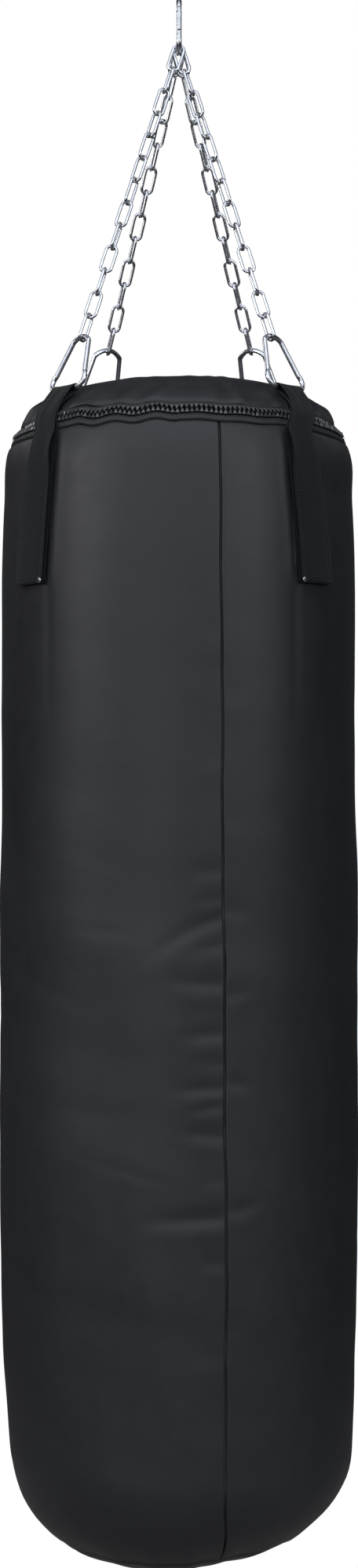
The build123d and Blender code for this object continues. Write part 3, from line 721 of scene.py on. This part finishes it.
# rows of points along each ply on the bag, and round the ring's bar
PLY_ROWS = 64
LOOP_ROWS = 15


def strap_path():
    """The webbing's run in the radial plane: up under, round the ring's bar and down on top.

    Its points, the direction of its outer face at each, and the length up to each."""
    end_run = run_at_height(STRAP_END_Z)
    top_run = run_at_tilt(41.0)
    runs = np.linspace(end_run, top_run, PLY_ROWS)
    under_r, under_z, _ = outline(runs, -(1.35 + PLY / 2))
    over_r, over_z, _ = outline(runs[::-1], -(1.4 + PLY * 1.55))
    bar = np.array([BAR_RADIUS, BAR_Z])
    root = np.array([under_r[-1], under_z[-1]])
    ahead = (bar - root) / np.linalg.norm(bar - root)
    inward = np.array([-ahead[1], ahead[0]])
    if inward[1] > 0:
        inward = -inward
    loop = []
    for angle in np.radians(np.linspace(-90, 90, LOOP_ROWS)):
        loop.append(bar + LOOP_R * (ahead * cos(angle) + inward * -sin(angle)))
    loop = np.array(loop)
    line = np.concatenate([np.stack([under_r, under_z], 1), loop, np.stack([over_r, over_z], 1)])
    first = PLY_ROWS - 4
    last = PLY_ROWS + LOOP_ROWS + 5
    for _ in range(6):
        beside = line[first - 1:last - 1] + line[first + 1:last + 1]
        line[first:last] = 0.5 * line[first:last] + 0.25 * beside
    steps = np.linalg.norm(np.diff(line, axis=0), axis=1)
    length = np.concatenate([[0], np.cumsum(steps)])
    tangent = np.gradient(line, axis=0)
    tangent /= np.linalg.norm(tangent, axis=1, keepdims=True)
    outward_side = np.stack([-tangent[:, 1], tangent[:, 0]], 1)
    middle = len(line) // 2
    if (line[middle] - bar) @ outward_side[middle] < 0:
        outward_side = -outward_side
    return line, outward_side, length


def make_strap(corner, places):
    """One strap of doubled webbing; places are its bearings at the ring, the shoulder and the lower end."""
    line, side, length = strap_path()
    rows = len(line)
    inner = inner_side(places[0])
    up = np.array([0.0, 0.0, 1.0])
    draw = np.random.default_rng(SEED + int(abs(places[0])))
    phase = draw.uniform(0, 6.28, 3)
    half_row = np.array([0.0, 0.12, 0.25, 0.38, 0.5, 0.62, 0.7, 0.74, 0.77, 0.8, 0.84, 0.9, 0.96, 1.0])
    span = np.concatenate([-half_row[:0:-1], half_row])
    columns = len(span)
    across = np.concatenate([span, span[::-1]])
    faces_out = np.concatenate([np.ones(columns), -np.ones(columns)])
    seams = np.exp(-((np.abs(across) - 0.77) / 0.028) ** 2)
    edge = np.clip(1 - (np.abs(across) ** 14), 0.3, 1) * (1 - 0.75 * seams)
    points = np.zeros((rows, 2 * columns, 3))
    cloth = np.zeros((rows, 2 * columns, 3))
    surface = np.zeros((rows, columns, 3))
    for k in range(rows):
        r, z = line[k]
        near_bar = np.hypot(r - BAR_RADIUS, z - BAR_Z)
        on_loop = PLY_ROWS - 2 <= k <= PLY_ROWS + LOOP_ROWS + 1
        half = float(strap_half_width(z, on_loop))
        gathered = float(np.clip(1 - (half - GATHERED_HALF) / (WEB_HALF - GATHERED_HALF), 0, 1))
        roundness = float(smooth(near_bar, 6.0, 40.0))
        top_ply = k > rows // 2
        u = across * half
        centre = float(np.interp(z, [FOOT_Z, -445.0, -412.0], [places[2], places[1], places[0]]))
        b = radians(centre)
        out = np.array([sin(b), -cos(b), 0.0])
        along = np.array([cos(b), sin(b), 0.0])
        fall = (r - r * np.cos(u / r)) * roundness
        wave = gathered * (0.55 * np.sin(across * 6.5 + phase[0]) + 0.35 * np.sin(across * 11 + phase[1]))
        lift = wave * (1 - smooth(near_bar, 26, 75)) * smooth(near_bar, 2.0, 8.0)
        curl = 0.9 * np.abs(across) ** 4 * (1 - smooth(near_bar, 4.0, 30.0))
        free = np.exp(-((z + 462) / 17.0) ** 2) * smooth(across * inner, 0.35, 1.0) * 3.0
        free = free + 0.8 * smooth(across * inner, 0.7, 1.0) * smooth(near_bar, 30, 60)
        lift = lift + curl + free
        if not top_ply:
            lift = np.minimum(lift, 0.9) + free * 0.9
        wobble = 0.35 * sin(z / 23.0 + phase[2]) * smooth(near_bar, 30, 60)
        height = lift + faces_out * edge * PLY / 2
        radial = r - fall + side[k, 0] * height
        level = z + side[k, 1] * height
        points[k] = (out * radial[:, None] + along * (u + wobble)[:, None] + up * level[:, None]) * MM
        cloth[k, :, 0] = across * WEB_HALF * MM
        cloth[k, :, 1] = length[k] * MM
        cloth[k, :, 2] = faces_out * PLY * 0.5 * MM
        surface[k] = points[k, :columns]
    faces = grid_faces(rows, 2 * columns, False, True) + end_caps(rows, 2 * columns)
    strap = make_object(f"webbing_{corner}", points, faces, "bag", "webbing", True, cloth)
    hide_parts(f"strap_{corner}")
    return surface


STRAP_PITCH = 3.8


def strap_stitches(corner, surface):
    """The strap's two long seams, its end seam and the bar seam below the gathers."""
    rows, columns, _ = surface.shape
    top = surface[rows // 2:]
    places = []
    tangents = []
    normals = []

    def follow(path, nearby, skip):
        steps = np.linalg.norm(np.diff(path, axis=0), axis=1)
        length = np.concatenate([[0], np.cumsum(steps)])

        def point(line, reach):
            return np.stack([np.interp(reach, length, line[:, k]) for k in range(3)], 1)

        at = np.arange(skip * MM, length[-1] - 2 * MM, STRAP_PITCH * MM)
        where = point(path, at)
        ahead = unit(point(path, at + 0.5 * MM) - point(path, at - 0.5 * MM))
        facing = unit(np.cross(ahead, unit(point(nearby, at) - where)))
        outward_way = where * np.array([1, 1, 0])
        flip = np.sign(np.sum(facing * outward_way, axis=1))[:, None]
        places.extend(where + facing * flip * 0.1 * MM)
        tangents.extend(ahead)
        normals.extend(facing * flip)

    for column, beside in ((5, 8), (columns - 6, columns - 9)):
        follow(top[:, column], top[:, beside], 30)
    heights = top[:, columns // 2, 2]
    for height, skip in ((-504.0, 0.5), (-508.0, 0.5), (-587.5, 1)):
        row = int(np.argmin(np.abs(heights - height * MM)))
        follow(top[row, 3:columns - 3], top[row - 2, 3:columns - 3], skip)
    stitch_line(f"stitches_{corner}", places, tangents, normals, 2.9, 0.6)


# --- materials ---


def fill(node, **values):
    """Set a node's inputs by name."""
    for name, value in values.items():
        node.inputs[name.replace("_", " ")].default_value = value


class Shader:
    """A procedural material made of a few named steps."""

    def __init__(self, name, colour, roughness, metallic=0.0, coords="Object"):
        self.material = bpy.data.materials.new(name)
        self.material.use_nodes = True
        self.nodes = self.material.node_tree.nodes
        self.links = self.material.node_tree.links
        self.surface = self.nodes["Principled BSDF"]
        fill(self.surface, Base_Color=(*colour, 1), Roughness=roughness, Metallic=metallic)
        self.height = None
        if coords == "lay":
            place = self.nodes.new("ShaderNodeAttribute")
            place.attribute_name = "lay"
            self.where = place.outputs["Vector"]
        else:
            self.where = self.nodes.new("ShaderNodeTexCoord").outputs[coords]

    def mapped(self, scale):
        """The coordinates stretched by a scale."""
        node = self.nodes.new("ShaderNodeMapping")
        fill(node, Scale=scale if hasattr(scale, "__len__") else (scale,) * 3)
        self.links.new(self.where, node.inputs["Vector"])
        return node.outputs["Vector"]

    def noise(self, scale, detail=4.0, rough=0.55, stretch=1.0):
        """A noise pattern, as a value."""
        node = self.nodes.new("ShaderNodeTexNoise")
        fill(node, Scale=scale, Detail=detail, Roughness=rough)
        self.links.new(self.mapped(stretch), node.inputs["Vector"])
        return node.outputs["Fac"]

    def cells(self, scale):
        """A cell pattern, as a distance."""
        node = self.nodes.new("ShaderNodeTexVoronoi")
        fill(node, Scale=scale)
        self.links.new(self.where, node.inputs["Vector"])
        return node.outputs["Distance"]

    def wave(self, scale, direction="X", distortion=0.0):
        """A wave pattern along one axis, as a value."""
        node = self.nodes.new("ShaderNodeTexWave")
        node.wave_type = "BANDS"
        node.bands_direction = direction
        fill(node, Scale=scale, Distortion=distortion)
        self.links.new(self.where, node.inputs["Vector"])
        return node.outputs["Fac"]

    def math(self, operation, a, b):
        """An operation on two values, sockets or numbers."""
        node = self.nodes.new("ShaderNodeMath")
        node.operation = operation
        for socket, value in zip(node.inputs, (a, b)):
            if hasattr(value, "links"):
                self.links.new(value, socket)
            else:
                socket.default_value = value
        return node.outputs["Value"]

    def mixed(self, a, share_a, b, share_b):
        """Two values weighed and added."""
        return self.math("ADD", self.math("MULTIPLY", a, share_a), self.math("MULTIPLY", b, share_b))

    def between(self, value, low_in, high_in, low, high):
        """A value carried from one range to another."""
        node = self.nodes.new("ShaderNodeMapRange")
        fill(node, From_Min=low_in, From_Max=high_in, To_Min=low, To_Max=high)
        self.links.new(value, node.inputs["Value"])
        return node.outputs["Result"]

    def tint(self, value, dark, light, low=0.35, high=0.65):
        """Base colour that drifts between two colours with a value."""
        ramp = self.nodes.new("ShaderNodeValToRGB")
        ramp.color_ramp.elements[0].position = low
        ramp.color_ramp.elements[1].position = high
        ramp.color_ramp.elements[0].color = (*dark, 1)
        ramp.color_ramp.elements[1].color = (*light, 1)
        self.links.new(value, ramp.inputs["Fac"])
        self.links.new(ramp.outputs["Color"], self.surface.inputs["Base Color"])

    def rough(self, value, low, high, low_in=0.3, high_in=0.7):
        """Roughness that drifts with a value."""
        self.links.new(self.between(value, low_in, high_in, low, high), self.surface.inputs["Roughness"])

    def bump(self, value, strength, distance):
        """One layer of bump, on top of those before it."""
        node = self.nodes.new("ShaderNodeBump")
        fill(node, Strength=strength, Distance=distance)
        self.links.new(value, node.inputs["Height"])
        if self.height:
            self.links.new(self.height, node.inputs["Normal"])
        self.height = node.outputs["Normal"]
        self.links.new(self.height, self.surface.inputs["Normal"])

    def set(self, **values):
        """Plain values of the surface's other inputs."""
        fill(self.surface, **values)


def vinyl(name, dark, light, rough_low, rough_high):
    """Black coated vinyl: fine pebble grain, drifting sheen and faint rubbed patches."""
    m = Shader(name, dark, 0.4)
    broad = m.noise(6.0, 5, 0.6, (1, 1, 0.5))
    fine = m.noise(60.0, 4, 0.6)
    m.tint(m.mixed(broad, 0.7, fine, 0.3), dark, light)
    m.rough(m.mixed(broad, 0.6, fine, 0.4), rough_low, rough_high)
    m.bump(m.cells(900.0), 0.10, 0.0003)
    m.bump(m.noise(420.0, 3, 0.6), 0.12, 0.0004)
    m.bump(m.noise(26.0, 3, 0.5), 0.10, 0.004)
    m.set(Specular_IOR_Level=0.5)
    return m.material


def webbing(name):
    """Black woven webbing: ribs across and yarns along, with a little lint."""
    m = Shader(name, (0.009, 0.0095, 0.0093), 0.8, coords="lay")
    rib = m.wave(220.0, "Y", 0.4)
    yarn = m.wave(150.0, "X", 0.0)
    twill = m.math("MULTIPLY", rib, yarn)
    lint = m.noise(700.0, 3, 0.7)
    m.tint(m.mixed(twill, 0.6, lint, 0.5), (0.0045, 0.005, 0.0048), (0.0165, 0.0172, 0.0165), 0.25, 0.8)
    m.rough(lint, 0.72, 0.92)
    m.bump(twill, 0.5, 0.0006)
    m.bump(lint, 0.15, 0.0004)
    m.set(Sheen_Weight=0.08, Sheen_Roughness=0.5, Specular_IOR_Level=0.25)
    return m.material


def thread(name):
    """Black polyester sewing thread."""
    m = Shader(name, (0.012, 0.012, 0.013), 0.5)
    m.tint(m.noise(900.0, 2), (0.008, 0.008, 0.009), (0.03, 0.03, 0.031))
    m.rough(m.noise(500.0, 2), 0.42, 0.6)
    m.bump(m.wave(2500.0, "Z", 1.0), 0.3, 0.0001)
    return m.material


def plated(name, colour, dull, rough_low, rough_high):
    """Bright plated steel: drifting polish, fine scratches and dull spots in the plating."""
    m = Shader(name, colour, 0.2, 1.0)
    drift = m.noise(120.0, 5, 0.6)
    spots = m.noise(700.0, 3, 0.7)
    m.tint(m.mixed(drift, 0.6, spots, 0.4), dull, colour)
    m.rough(m.mixed(drift, 0.5, spots, 0.5), rough_low, rough_high)
    m.bump(spots, 0.06, 0.0002)
    m.bump(m.noise(2400.0, 2, 0.5, (1, 1, 0.15)), 0.05, 0.0001)
    return m.material


def moulded(name, colour, light, rough_low, rough_high, metallic=0.0, specular=0.5):
    """Moulded black plastic or lacquered metal with a faintly uneven gloss."""
    m = Shader(name, colour, 0.3, metallic)
    drift = m.noise(300.0, 4, 0.6)
    m.tint(drift, colour, light)
    m.rough(drift, rough_low, rough_high)
    m.bump(m.noise(1500.0, 3, 0.5), 0.08, 0.0002)
    m.set(Specular_IOR_Level=specular)
    return m.material


def woven(name, dark, light, scale):
    """Plain woven cloth or felted textile."""
    m = Shader(name, dark, 0.9)
    weave = m.math("MULTIPLY", m.wave(scale, "X", 1.5), m.wave(scale, "Z", 1.5))
    m.tint(m.mixed(weave, 0.4, m.noise(200.0, 4), 0.6), dark, light)
    m.rough(m.noise(150.0, 3), 0.8, 0.95)
    m.bump(weave, 0.4, 0.0005)
    m.set(Specular_IOR_Level=0.25)
    return m.material


MATERIALS = {
    "plated_steel": plated("bright_zinc", (0.86, 0.87, 0.89), (0.62, 0.64, 0.67), 0.12, 0.3),
    "spring_steel": plated("spring_wire", (0.6, 0.6, 0.62), (0.45, 0.45, 0.47), 0.25, 0.4),
    "rivet_metal": plated("rivet_nickel", (0.8, 0.79, 0.77), (0.55, 0.54, 0.52), 0.15, 0.35),
    "webbing": webbing("black_webbing"),
    "cover_vinyl": vinyl("black_vinyl", (0.0125, 0.0128, 0.0142), (0.0190, 0.0194, 0.0212), 0.42, 0.54),
    "binding_vinyl": vinyl("binding_vinyl", (0.0115, 0.0118, 0.0118), (0.0175, 0.0178, 0.0175), 0.5, 0.62),
    "zip_teeth": moulded("zip_tooth_resin", (0.02, 0.02, 0.021), (0.036, 0.036, 0.037), 0.16, 0.3, 0.0, 1.0),
    "zip_metal": moulded("zip_lacquer", (0.02, 0.02, 0.022), (0.035, 0.035, 0.037), 0.25, 0.4, 0.4),
    "zip_tape": woven("zip_tape_cloth", (0.006, 0.006, 0.006), (0.016, 0.016, 0.016), 400.0),
    "backing_fabric": woven("backing_cloth", (0.03, 0.03, 0.03), (0.06, 0.06, 0.06), 300.0),
    "padding_foam": woven("liner_foam", (0.45, 0.45, 0.43), (0.6, 0.6, 0.57), 90.0),
    "rag_filling": woven("rag_felt", (0.2, 0.2, 0.21), (0.4, 0.38, 0.36), 60.0),
}
THREAD = thread("sewing_thread")


def paint(piece, material):
    """Give every material slot of a piece one material."""
    if not piece.data.materials:
        piece.data.materials.append(material)
    for slot in piece.material_slots:
        slot.material = material


# --- making ---

for subpart in frame["record"]["subparts"]:
    paint(frame["nodes"][subpart["node"]], MATERIALS[subpart["material_slot"]])

make_cover()
make_top_and_bottom()
make_bindings()
make_zip()
for corner, places in STRAPS.items():
    strap_stitches(corner, make_strap(corner, places))

for piece in list(bpy.context.scene.objects):
    if piece.type != "MESH" or piece.name in frame["nodes"]:
        continue
    if piece.name.startswith("stitches"):
        paint(piece, THREAD)
    elif piece.get("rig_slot"):
        paint(piece, MATERIALS[piece["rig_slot"]])

# --- stage, light and camera ---

FLOOR_Z = -1.98
FLOOR_HALF = 60.0
# the floor lights the bag from within the first distance, and no more beyond the second
FLOOR_REACH = (1.6, 2.5)
# how brightly the object sees the world's parts: in front, above, below, the floor, behind, all round
FRONT_GLOW = 1.0
TOP_GLOW = 0.5
UNDER_GLOW = 0.36
FLOOR_GLOW = 0.14
BACK_GLOW = 0.07
DIM_GLOW = 0.015
# each lamp: place, what it is aimed at, size, power and colour
LAMPS = {
    "left": ((-2.5, -1.3, 0.15), (-0.02, 0, -0.5), (0.9, 0.8), 14, (1.0, 0.98, 0.96)),
    "right": ((2.2, -2.0, 0.2), (0.02, 0, -0.5), (0.8, 0.8), 9, (0.96, 0.98, 1.0)),
    "middle": ((-0.75, -2.7, -0.85), (0, 0, -0.95), (0.5, 0.7), 2.6, (1, 1, 1)),
    "behind": ((0.0, 2.9, -1.0), (0, 0, -0.95), (1.3, 1.2), 26, (1, 1, 1)),
    "behind_left": ((-2.5, 1.6, 1.0), (0, 0, -0.8), (0.9, 0.9), 7, (1, 1, 1)),
    "behind_right": ((2.5, 1.6, 1.0), (0, 0, -0.8), (0.9, 0.9), 2.5, (1, 1, 1)),
}
CAMERA_PLACE = (0.0, -2.8, -0.7853)
CAMERA_LENS = 63.8
SENSOR_WIDTH = 36.0


def make_floor():
    """A wide pale floor below the hanging bag: evenly pale to the camera, otherwise dark, with a faint
    painted glow near the bag that stands in for the light it would bounce back at it.
    """
    mesh = bpy.data.meshes.new("floor")
    corners = [(x * FLOOR_HALF, y * FLOOR_HALF, FLOOR_Z) for x, y in ((-1, -1), (1, -1), (1, 1), (-1, 1))]
    mesh.from_pydata(corners, [], [[0, 1, 2, 3]])
    floor = add_to_scene("floor", mesh)
    m = Shader("pale_floor", (0.06, 0.06, 0.06), 0.9)
    m.set(Emission_Color=(0.95, 0.95, 0.95, 1), Specular_IOR_Level=0.0)
    reach = m.nodes.new("ShaderNodeVectorMath")
    reach.operation = "LENGTH"
    m.links.new(m.mapped((1, 1, 0)), reach.inputs[0])
    # painted glow: the floor emits faintly near the bag to light it in place of bounced light; the camera
    # sees the floor evenly pale
    near = m.between(reach.outputs["Value"], *FLOOR_REACH, FLOOR_GLOW, 0.0)
    seen = m.nodes.new("ShaderNodeLightPath")
    m.links.new(m.math("MAXIMUM", seen.outputs["Is Camera Ray"], near), m.surface.inputs["Emission Strength"])
    paint(floor, m.material)


def area_light(name, place, target, size, power, colour):
    """A soft rectangular lamp aimed at a point."""
    lamp = bpy.data.lights.new(name, "AREA")
    lamp.shape = "RECTANGLE"
    lamp.size, lamp.size_y = size
    lamp.energy = power
    lamp.color = colour
    holder = add_to_scene(name, lamp)
    holder.location = place
    aim = Vector(target) - Vector(place)
    holder.rotation_euler = aim.to_track_quat("-Z", "Y").to_euler()


def make_world():
    """A white backdrop; the object itself sees a broad soft light in front, a small one behind and above."""
    world = bpy.data.worlds.new("studio")
    bpy.context.scene.world = world
    world.use_nodes = True
    nodes = world.node_tree.nodes
    links = world.node_tree.links

    def step(socket, low, high, bottom, top):
        node = nodes.new("ShaderNodeMapRange")
        node.interpolation_type = "SMOOTHSTEP"
        fill(node, From_Min=low, From_Max=high, To_Min=bottom, To_Max=top)
        links.new(socket, node.inputs["Value"])
        return node.outputs["Result"]

    def along(direction):
        node = nodes.new("ShaderNodeVectorMath")
        node.operation = "DOT_PRODUCT"
        node.inputs[1].default_value = direction
        links.new(way, node.inputs[0])
        return node.outputs["Value"]

    def join(operation, a, b):
        node = nodes.new("ShaderNodeMath")
        node.operation = operation
        links.new(a, node.inputs[0])
        links.new(b, node.inputs[1])
        return node.outputs["Value"]

    way = nodes.new("ShaderNodeTexCoord").outputs["Generated"]
    front = step(along((-0.12, -0.99, 0.0)), 0.0, 0.6, 0.0, FRONT_GLOW)
    height = step(along((0.0, 0.0, 1.0)), -0.36, 0.04, 0.34, 1.0)
    under = step(along((0.0, -0.45, -0.89)), 0.45, 0.9, 0.0, UNDER_GLOW)
    above = step(along((0.0, -0.4, 0.92)), 0.55, 0.95, 0.0, TOP_GLOW)
    behind = step(along((0.0, 1.0, 0.0)), 0.6, 0.96, DIM_GLOW, BACK_GLOW)
    glow = join("ADD", join("MULTIPLY", front, height), join("ADD", above, join("ADD", behind, under)))
    seen = nodes.new("ShaderNodeLightPath")
    pick = nodes.new("ShaderNodeMix")
    pick.data_type = "FLOAT"
    links.new(seen.outputs["Is Camera Ray"], pick.inputs[0])
    links.new(glow, pick.inputs[2])
    pick.inputs[3].default_value = 1.0
    back = nodes["Background"]
    tone = nodes.new("ShaderNodeMix")
    tone.data_type = "RGBA"
    links.new(seen.outputs["Is Camera Ray"], tone.inputs[0])
    tone.inputs[6].default_value = (0.90, 0.95, 1.06, 1)
    tone.inputs[7].default_value = (1, 1, 1, 1)
    links.new(tone.outputs[2], back.inputs["Color"])
    links.new(pick.outputs[0], back.inputs["Strength"])


make_floor()
make_world()
for lamp_name, lamp_values in LAMPS.items():
    area_light(lamp_name, *lamp_values)

camera_data = bpy.data.cameras.new("camera")
camera_data.lens = CAMERA_LENS
camera_data.sensor_width = SENSOR_WIDTH
camera = add_to_scene("camera", camera_data)
camera.location = CAMERA_PLACE
camera.rotation_euler = (pi / 2, 0, 0)
bpy.context.scene.camera = camera
bpy.context.scene.view_settings.view_transform = "Standard"
